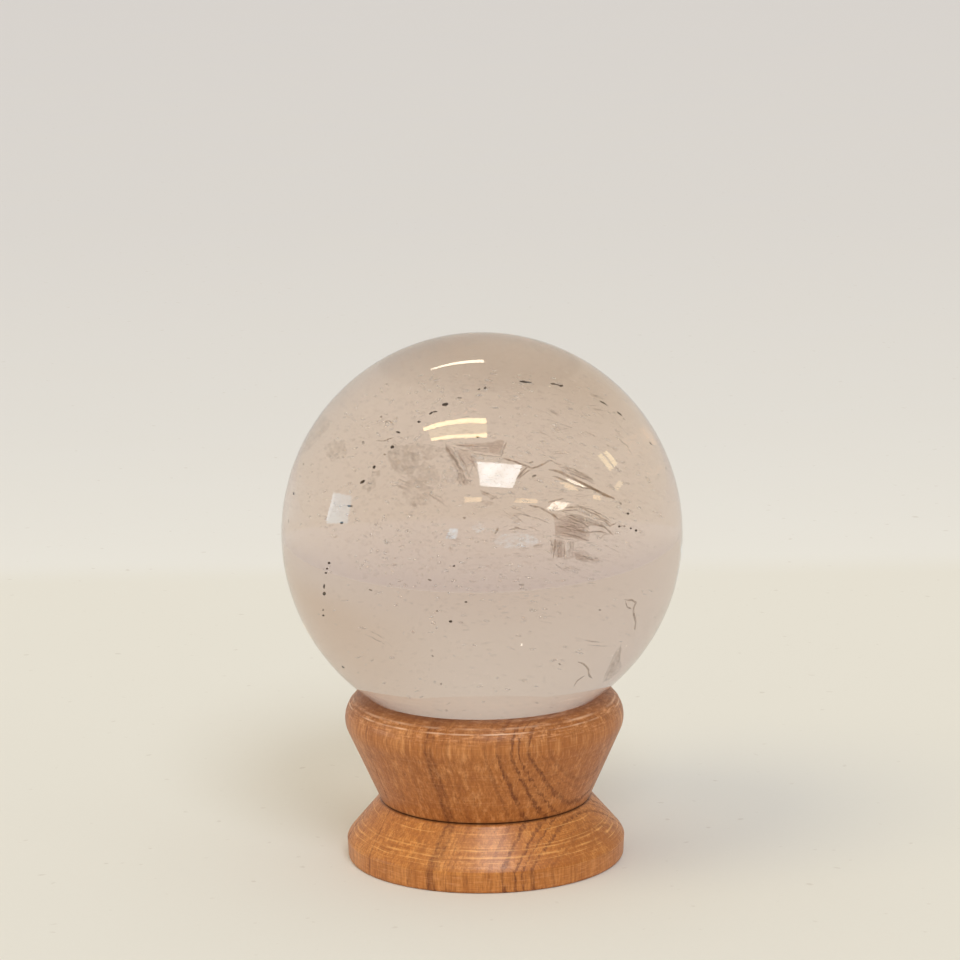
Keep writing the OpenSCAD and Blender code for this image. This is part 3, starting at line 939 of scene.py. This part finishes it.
def build_fractures():
    fill = stone_material("crack_brown", (0.45, 0.215, 0.110), 0.06, 0.145, 1.5, tint=(0.50, 0.30, 0.19))
    thin = stone_material("crack_tan", (0.36, 0.22, 0.14), 0.02, 0.18, 1.2, tint=(0.50, 0.36, 0.26))
    line = stone_material("crack_line", (0.27, 0.135, 0.045), 0.14, 0.45, 1.8, tint=(0.50, 0.30, 0.12))
    faint = stone_material("crack_faint", (0.26, 0.165, 0.10), 0.06, 0.32, 1.4)
    cloud = stone_material("crack_cloud", (0.24, 0.17, 0.075), 0.0, 0.135, 1.35, tint=(0.32, 0.20, 0.13))
    film = stone_material("crack_film", (1.0, 0.97, 0.93), 0.05, 0.42, 1.2, rough=0.35)
    F, T, L, W, K, P = Bits(), Bits(), Bits(), Bits(), Bits(), Bits()

    # brown plates
    plates = [
        ([(-0.135, 0.441), (-0.095, 0.447), (-0.055, 0.449), (0.02, 0.453), (0.085, 0.462), (0.111, 0.46), (0.096, 0.388), (0.055, 0.394), (0.005, 0.401), (-0.05, 0.415), (-0.075, 0.429)], 0.30, (0.15, 0.0)),
        ([(0.02, 0.456), (0.08, 0.466), (0.11, 0.461), (0.092, 0.392), (0.04, 0.401)], 0.33, (0.1, 0.05)),
        ([(-0.132, 0.414), (-0.087, 0.416), (-0.05, 0.398), (-0.028, 0.363), (-0.04, 0.334), (-0.072, 0.33), (-0.1, 0.357), (-0.119, 0.388)], 0.31, (0.1, 0.1)),
        ([(0.201, 0.324), (0.232, 0.333), (0.214, 0.308), (0.188, 0.274), (0.168, 0.271)], 0.28, (0.0, 0.1)),
        ([(0.321, 0.115), (0.388, 0.094), (0.438, 0.082), (0.483, 0.061), (0.531, 0.033), (0.538, 0.019), (0.483, 0.025), (0.538, -0.004), (0.526, -0.04), (0.443, -0.022), (0.363, -0.022), (0.359, 0.054), (0.355, 0.082)], 0.32, (0.2, 0.1)),
        ([(0.363, 0.057), (0.453, 0.062), (0.513, 0.027), (0.518, -0.017), (0.448, -0.012), (0.368, -0.007)], 0.36, (0.1, 0.0)),
        ([(0.443, -0.092), (0.488, -0.099), (0.531, -0.117), (0.565, -0.131), (0.508, -0.13), (0.453, -0.118)], 0.40, (0.1, 0.1)),
        ([(0.371, -0.037), (0.398, -0.039), (0.395, -0.125), (0.37, -0.126)], 0.38, (0.05, 0.0)),
    ]
    for i, (poly, d, tilt) in enumerate(plates):
        sheet(F, poly, d, tilt, seed=i + 3, rough_edge=0.005)
    veils = [
        ([(-0.179, 0.445), (-0.149, 0.421), (-0.11, 0.351), (-0.07, 0.241), (-0.095, 0.251), (-0.144, 0.341), (-0.184, 0.416)], 0.34, (0.1, 0.1)),
        ([(-0.119, 0.306), (-0.08, 0.286), (-0.06, 0.246), (-0.1, 0.236), (-0.129, 0.266)], 0.36, (0.1, 0.1)),
        ([(-0.01, 0.217), (0.04, 0.197), (0.085, 0.172), (0.05, 0.167), (0.005, 0.192)], 0.30, (0.1, 0.1)),
        ([(-0.015, 0.157), (0.03, 0.164), (0.06, 0.152), (0.025, 0.137)], 0.33, (0.0, 0.1)),
        ([(0.368, 0.072), (0.463, 0.095), (0.548, 0.072), (0.617, 0.052), (0.647, 0.032), (0.567, 0.037), (0.503, 0.057), (0.438, 0.067)], 0.30, (0.2, 0.0)),
        ([(0.348, -0.032), (0.413, -0.037), (0.423, -0.122), (0.353, -0.112)], 0.41, (0.0, 0.1)),
        ([(0.418, -0.132), (0.443, -0.037), (0.458, -0.037), (0.453, -0.122)], 0.39, (0.0, 0.1)),
        ([(0.254, -0.062), (0.304, -0.055), (0.294, -0.072), (0.259, -0.075)], 0.33, (0.0, 0.1)),
        ([(0.408, 0.336), (0.463, 0.321), (0.523, 0.296), (0.553, 0.266), (0.498, 0.281), (0.438, 0.311)], 0.30, (0.1, 0.1)),
        ([(0.448, -0.072), (0.508, -0.082), (0.567, -0.112), (0.607, -0.142), (0.538, -0.142), (0.468, -0.132)], 0.44, (0.1, 0.1)),
    ]
    for i, (poly, d, tilt) in enumerate(veils):
        sheet(T, poly, d, tilt, seed=i + 31, rough_edge=0.006)

    # needles, crack edges and striations: line, depth, width
    strong = [
        ([(0.123, 0.456), (0.111, 0.426), (0.095, 0.387)], 0.29, 1.6),
        ([(-0.137, 0.442), (-0.08, 0.436), (-0.02, 0.436)], 0.30, 1.0),
        ([(0.1, 0.374), (0.129, 0.368), (0.169, 0.358), (0.219, 0.336), (0.249, 0.323), (0.294, 0.34), (0.336, 0.365), (0.353, 0.361)], 0.29, 1.8),
        ([(0.224, 0.33), (0.199, 0.306), (0.174, 0.274)], 0.28, 1.4),
        ([(0.246, 0.319), (0.219, 0.304), (0.184, 0.273)], 0.28, 1.2),
        ([(0.333, 0.315), (0.371, 0.312), (0.408, 0.295), (0.473, 0.264), (0.543, 0.228), (0.607, 0.194), (0.663, 0.172)], 0.27, 2.3),
        ([(0.473, 0.263), (0.543, 0.229), (0.617, 0.191), (0.657, 0.175)], 0.285, 2.0),
        ([(0.348, 0.286), (0.398, 0.27), (0.453, 0.242), (0.516, 0.226), (0.557, 0.219)], 0.28, 1.5),
        ([(0.233, 0.142), (0.294, 0.127), (0.348, 0.096), (0.383, 0.068)], 0.30, 1.8),
        ([(0.329, 0.152), (0.356, 0.163), (0.405, 0.173)], 0.27, 1.4),
        ([(0.411, 0.127), (0.488, 0.133), (0.545, 0.103), (0.602, 0.074), (0.644, 0.05)], 0.31, 1.6),
        ([(0.398, 0.112), (0.468, 0.119), (0.538, 0.087), (0.607, 0.062)], 0.32, 1.2),
        ([(0.432, 0.096), (0.511, 0.068), (0.572, 0.041), (0.609, 0.032)], 0.33, 1.5),
        ([(0.44, 0.077), (0.493, 0.054), (0.533, 0.032)], 0.34, 1.4),
        ([(0.565, 0.054), (0.608, 0.033), (0.656, -0.008)], 0.31, 1.6),
        ([(0.6, 0.069), (0.636, 0.039), (0.669, 0.051)], 0.30, 1.5),
        ([(0.478, 0.022), (0.538, 0.007), (0.587, 0.01), (0.627, -0.002)], 0.34, 1.3),
        ([(0.388, 0.002), (0.458, -0.007), (0.533, -0.037)], 0.36, 1.1),
        ([(0.378, 0.037), (0.448, 0.032), (0.528, -0)], 0.36, 1.1),
        ([(0.365, -0.022), (0.361, -0.072), (0.355, -0.124)], 0.38, 1.3),
        ([(0.341, -0.022), (0.35, -0.062), (0.355, -0.087)], 0.38, 0.9),
        ([(0.386, -0.037), (0.381, -0.122)], 0.39, 1.0),
        ([(0.084, 0.026), (0.072, 0.012), (0.063, -0.003)], 0.22, 2.0),
        ([(0.135, 0.018), (0.174, 0.026), (0.223, 0.017)], 0.24, 1.1),
        ([(0.159, 0.033), (0.182, 0.029)], 0.24, 1.6),
        ([(0.503, -0.112), (0.538, -0.124), (0.56, -0.132)], 0.40, 1.6),
        ([(0.709, -0.331), (0.745, -0.333), (0.766, -0.343), (0.754, -0.369), (0.758, -0.406), (0.767, -0.441), (0.761, -0.483)], 0.16, 1.4),
        ([(0.712, -0.334), (0.722, -0.366), (0.747, -0.378)], 0.16, 1.0),
        ([(0.476, -0.638), (0.508, -0.649), (0.531, -0.677), (0.532, -0.706), (0.55, -0.721)], 0.14, 1.3),
        ([(0.458, -0.763), (0.475, -0.731), (0.51, -0.707)], 0.14, 1.2),
        ([(-0.523, 0.462), (-0.485, 0.461), (-0.463, 0.471), (-0.441, 0.48)], 0.12, 0.9),
        ([(-0.485, 0.557), (-0.463, 0.56), (-0.45, 0.555), (-0.441, 0.539)], 0.12, 0.8),
    ]
    for i, (ln, d, w) in enumerate(strong):
        thread(L, ln, d, w * 1.08, 0.01, 0.0020, 50 + i)
    weak = [
        ([(-0.182, 0.445), (-0.171, 0.413), (-0.149, 0.381), (-0.126, 0.348), (-0.1, 0.316), (-0.072, 0.296)], 0.33, 2.2),
        ([(-0.174, 0.431), (-0.156, 0.396), (-0.129, 0.363), (-0.116, 0.336)], 0.34, 1.6),
        ([(-0.126, 0.316), (-0.116, 0.291), (-0.122, 0.268), (-0.105, 0.246)], 0.34, 1.3),
        ([(-0.097, 0.296), (-0.082, 0.273), (-0.092, 0.251), (-0.075, 0.234)], 0.35, 1.3),
        ([(-0.072, 0.271), (-0.057, 0.256), (-0.062, 0.236)], 0.35, 1.1),
        ([(-0.181, 0.443), (-0.03, 0.396), (0.105, 0.378)], 0.33, 0.9),
        ([(-0.144, 0.406), (-0.105, 0.356), (-0.067, 0.291)], 0.33, 1.0),
        ([(-0.06, 0.391), (-0.04, 0.346), (-0.07, 0.276)], 0.35, 0.8),
        ([(-0.119, 0.236), (-0.1, 0.276), (-0.114, 0.316)], 0.36, 0.8),
        ([(0.159, 0.103), (0.229, 0.089), (0.314, 0.061), (0.338, 0.047)], 0.30, 1.2),
        ([(0.229, 0.034), (0.287, 0.012)], 0.29, 1.1),
        ([(0.105, 0.032), (0.132, 0.04)], 0.25, 1.2),
        ([(0.391, 0.33), (0.447, 0.323), (0.496, 0.298), (0.552, 0.267)], 0.30, 1.7),
        ([(0.348, 0.359), (0.383, 0.344), (0.412, 0.333)], 0.30, 1.2),
        ([(0.371, 0.284), (0.403, 0.269)], 0.28, 1.2),
        ([(0.254, -0.062), (0.302, -0.054)], 0.34, 1.6),
        ([(-0.08, 0.381), (-0.045, 0.351), (-0.015, 0.296)], 0.36, 1.0),
        ([(-0.005, 0.214), (0.035, 0.194), (0.083, 0.173)], 0.30, 1.5),
        ([(0.04, 0.167), (0.078, 0.189)], 0.30, 1.2),
        ([(0.443, -0.037), (0.433, -0.112)], 0.40, 1.0),
        ([(0.413, -0.047), (0.41, -0.127)], 0.40, 0.9),
        ([(0.577, -0.035), (0.607, -0.005), (0.636, -0.002)], 0.34, 1.0),
        ([(0.607, -0.057), (0.687, -0.097)], 0.40, 0.8), ([(0.139, 0.132), (0.189, 0.112)], 0.34, 0.8),
        ([(0.463, 0.142), (0.538, 0.122), (0.592, 0.092)], 0.30, 0.9),
        ([(0.518, 0.127), (0.587, 0.097), (0.642, 0.062)], 0.30, 0.9),
        ([(0.602, 0.45), (0.642, 0.431), (0.672, 0.406)], 0.28, 0.8),
        ([(0.513, 0.51), (0.572, 0.48)], 0.30, 0.8), ([(0.388, 0.545), (0.463, 0.52)], 0.33, 0.8),
        ([(0.169, 0.423), (0.194, 0.432)], 0.25, 1.0), ([(0.289, 0.505), (0.343, 0.48)], 0.30, 1.0),
        ([(0.672, 0.475), (0.722, 0.436), (0.747, 0.391)], 0.25, 0.8),
    ]
    for i, (ln, d, w) in enumerate(weak):
        thread(W, ln, d, w, 0.01, 0.002, 90 + i)
    # fine parallel striations across the big plate and beside it
    rng = random.Random(41)

    def lerp2(a, b, t):
        return (a[0] + (b[0] - a[0]) * t, a[1] + (b[1] - a[1]) * t)

    for bits, count, wide, a0, a1, b0, b1 in (
            (W, 9, 1.0, (0.368, 0.077), (0.548, 0.037), (0.358, -0.022), (0.538, -0.052)),
            (W, 6, 0.9, (0.388, 0.117), (0.607, 0.047), (0.388, 0.067), (0.587, -0.002)),
            (W, 5, 0.8, (0.333, -0.022), (0.333, -0.112), (0.418, -0.037), (0.418, -0.132)),
            (W, 5, 0.9, (0.438, -0.092), (0.567, -0.132), (0.428, -0.117), (0.548, -0.152)),
            (W, 5, 0.8, (-0.169, 0.436), (-0.08, 0.246), (-0.119, 0.426), (-0.04, 0.266)),
            (W, 4, 0.8, (0.388, 0.336), (0.548, 0.266), (0.418, 0.306), (0.587, 0.236)),
            (W, 4, 0.8, (-0.119, 0.436), (0.09, 0.455), (-0.1, 0.411), (0.08, 0.396))):
        for q in range(count):
            t = (q + rng.uniform(0.2, 0.8)) / count
            s0, s1 = lerp2(a0, b0, t), lerp2(a1, b1, t)
            k0, k1 = rng.uniform(0.0, 0.30), rng.uniform(0.65, 1.0)
            p0, p1 = lerp2(s0, s1, k0), lerp2(s0, s1, k1)
            mid = lerp2(p0, p1, 0.5)
            mid = (mid[0] + rng.gauss(0, 0.004), mid[1] + rng.gauss(0, 0.004))
            thread(bits, [p0, mid, p1], 0.33 + rng.uniform(-0.02, 0.05), wide * rng.uniform(0.7, 1.5), 0.01, 0.002, q)
    # the sliver low on the right
    sheet(T, [(0.602, -0.744), (0.62, -0.684), (0.652, -0.615), (0.695, -0.547), (0.689, -0.61), (0.699, -0.669), (0.657, -0.709)], 0.13, (0.0, 0.0), seed=71)
    sheet(T, [(0.607, -0.739), (0.632, -0.669), (0.667, -0.605), (0.69, -0.56), (0.685, -0.63), (0.652, -0.699)], 0.15, (0.0, 0.0), seed=72)
    # cloud of brown-green stain in the upper left
    clouds = [
        ([(-0.478, 0.421), (-0.428, 0.445), (-0.358, 0.436), (-0.314, 0.406), (-0.324, 0.351), (-0.368, 0.306), (-0.423, 0.301), (-0.458, 0.346)], 0.22, (0.3, 0.2)),
        ([(-0.478, 0.391), (-0.418, 0.426), (-0.338, 0.391), (-0.304, 0.336), (-0.358, 0.296), (-0.438, 0.311)], 0.30, (0.2, 0.3)),
        ([(-0.388, 0.436), (-0.289, 0.445), (-0.179, 0.426), (-0.189, 0.376), (-0.289, 0.361), (-0.368, 0.386)], 0.35, (0.2, 0.2)),
        ([(-0.368, 0.336), (-0.289, 0.361), (-0.219, 0.336), (-0.209, 0.266), (-0.299, 0.226), (-0.368, 0.266)], 0.42, (0.2, 0.2)),
        ([(-0.388, 0.246), (-0.309, 0.266), (-0.239, 0.226), (-0.249, 0.147), (-0.338, 0.127), (-0.398, 0.177)], 0.45, (0.2, 0.2)),
        ([(-0.597, 0.236), (-0.548, 0.296), (-0.508, 0.316), (-0.528, 0.256), (-0.567, 0.197)], 0.25, (0.2, 0.2)),
        ([(-0.777, 0.436), (-0.737, 0.465), (-0.682, 0.465), (-0.677, 0.386), (-0.737, 0.356), (-0.777, 0.386)], 0.25, (0.2, 0.2)),
        ([(-0.991, 0.465), (-0.906, 0.545), (-0.816, 0.615), (-0.757, 0.565), (-0.816, 0.465), (-0.906, 0.386)], 0.45, (0.1, 0.1)),
    ]
    for i, (poly, d, tilt) in enumerate(clouds):
        sheet(K, poly, d, tilt, cut=3, rough_edge=0.014, seed=120 + i)
    # pale films beside the brown ones
    films = [
        ([(-0.075, 0.406), (-0.02, 0.388), (0.105, 0.373), (0.09, 0.361), (-0.03, 0.371)], 0.30, (0.1, 0.0)),
        ([(-0.144, 0.403), (-0.129, 0.406), (-0.065, 0.291), (-0.078, 0.286)], 0.31, (0.1, 0.0)),
        ([(0.107, 0.457), (0.114, 0.457), (0.095, 0.386), (0.087, 0.388)], 0.28, (0.0, 0.0)),
        ([(0.423, -0.04), (0.443, -0.04), (0.431, -0.117), (0.411, -0.117)], 0.36, (0.0, 0.0)),
        ([(0.448, 0.099), (0.518, 0.077), (0.587, 0.05), (0.597, 0.037), (0.518, 0.059), (0.458, 0.085)], 0.30, (0.1, 0.0)),
        ([(0.438, 0.12), (0.508, 0.114), (0.577, 0.079), (0.617, 0.06), (0.557, 0.074), (0.488, 0.104)], 0.29, (0.1, 0.0)),
        ([(-0.194, 0.316), (-0.129, 0.336), (-0.11, 0.296), (-0.149, 0.246), (-0.204, 0.256)], 0.40, (0.1, 0.1)),
    ]
    for i, (poly, d, tilt) in enumerate(films):
        sheet(P, poly, d, tilt, seed=150 + i)

    # the same kind of thing elsewhere in the stone, which other sides show
    rng = random.Random(23)
    for i in range(18):
        a, z = rng.uniform(0, 2 * math.pi), rng.uniform(-0.5, 0.5)
        rad = rng.uniform(0.10, 0.50)
        c = Vector((0, 0, CZ)) + Vector((rad * math.cos(a), 0.12 + rad * math.sin(a) * 0.5, z)) * R
        d1 = Vector((0.9, rng.gauss(0, 0.4), rng.gauss(-0.3, 0.2))).normalized()
        k = rng.randint(2, 5)
        for j in range(k):
            s = c + Vector((rng.gauss(0, 0.3), rng.gauss(0, 0.6), rng.gauss(0, 0.3))) * MM
            ln = rng.uniform(0.8, 2.6) * MM
            pts = [s + d1 * (ln * q / 5) + Vector((rng.gauss(0, 1), rng.gauss(0, 1), rng.gauss(0, 1))) * 0.00004 for q in range(6)]
            W.rod(pts, [0.00001 + 0.00003 * math.sin(math.pi * (q + 0.4) / 6) for q in range(6)])
    F.done("crack_plates", fill)
    T.done("crack_veils", thin)
    L.done("crack_lines", line)
    W.done("crack_wisps", faint)
    K.done("crack_clouds", cloud)
    P.done("crack_films", film)


def build_glints():
    """Air-filled cracks in the stone that catch the lamps."""
    panel = lamp_spot(0.08, 0.29, 0.55)
    tray = lamp_spot(-0.10, 0.516, 1.25)
    window = lamp_spot(-0.705, 0.12, 0.9)
    bright, warm, cool, sheen, strip_glint = Bits(), Bits(), Bits(), Bits(), Bits()
    facet(bright, [(0.363, 0.162), (0.439, 0.151), (0.403, 0.12), (0.371, 0.113), (0.319, 0.122)], 0.24, panel)
    facet(strip_glint, [(0.418, 0.273), (0.443, 0.271), (0.488, 0.249), (0.523, 0.228), (0.483, 0.237), (0.438, 0.257)], 0.24, panel)
    facet(bright, [(0.191, -0.548), (0.202, -0.547), (0.203, -0.558), (0.192, -0.56)], 0.2, panel)
    facet(bright, [(0.713, -0.561), (0.721, -0.56), (0.721, -0.569), (0.714, -0.57)], 0.15, panel)
    facet(bright, [(0.644, -0.602), (0.65, -0.601), (0.651, -0.609), (0.645, -0.61)], 0.15, panel)
    facet(warm, [(-0.09, 0.182), (0, 0.18), (-0.005, 0.157), (-0.085, 0.154)], 0.26, tray)
    facet(warm, [(0.169, 0.177), (0.279, 0.172), (0.274, 0.15), (0.164, 0.154)], 0.26, tray)
    facet(warm, [(0.383, 0.256), (0.443, 0.254), (0.483, 0.215), (0.428, 0.218)], 0.26, tray)
    facet(warm, [(0.553, 0.194), (0.592, 0.187), (0.59, 0.165), (0.553, 0.172)], 0.26, tray)
    facet(cool, [(-0.161, 0.025), (-0.117, 0.025), (-0.129, -0.026), (-0.184, -0.027)], 0.26, window)
    facet(sheen, [(0.055, -0.037), (0.1, -0.005), (0.179, 0.004), (0.249, -0.007), (0.297, -0.04), (0.239, -0.064), (0.149, -0.075), (0.08, -0.067)], 0.30, window)
    facet(sheen, [(-0.06, 0.032), (-0.01, 0.052), (0.02, 0.027), (-0.02, 0.002)], 0.30, window)
    bright.done("glint_bright", mirror_material("glint_white", (1.0, 0.93, 0.80), 0.022, 0.068, 0.05))
    strip_glint.done("glint_strip", mirror_material("glint_pale", (1.0, 0.93, 0.80), 0.02, 0.09, 0.05))
    warm.done("glint_warm", mirror_material("glint_yellow", (1.0, 0.99, 0.96), 0.036, 0.074, 0.03))
    cool.done("glint_cool", mirror_material("glint_blue", (0.95, 0.98, 1.0), 0.03, 0.08, 0.05))
    sheen.done("glint_sheen", mirror_material("glint_haze", (0.95, 0.98, 1.0), 0.0, 0.055, 0.12))


build_floor()
build_world()
build_lights()
build_lamps()
sheen_light(build_stand())
build_sphere()
build_specks()
build_flecks()
build_fractures()
build_glints()
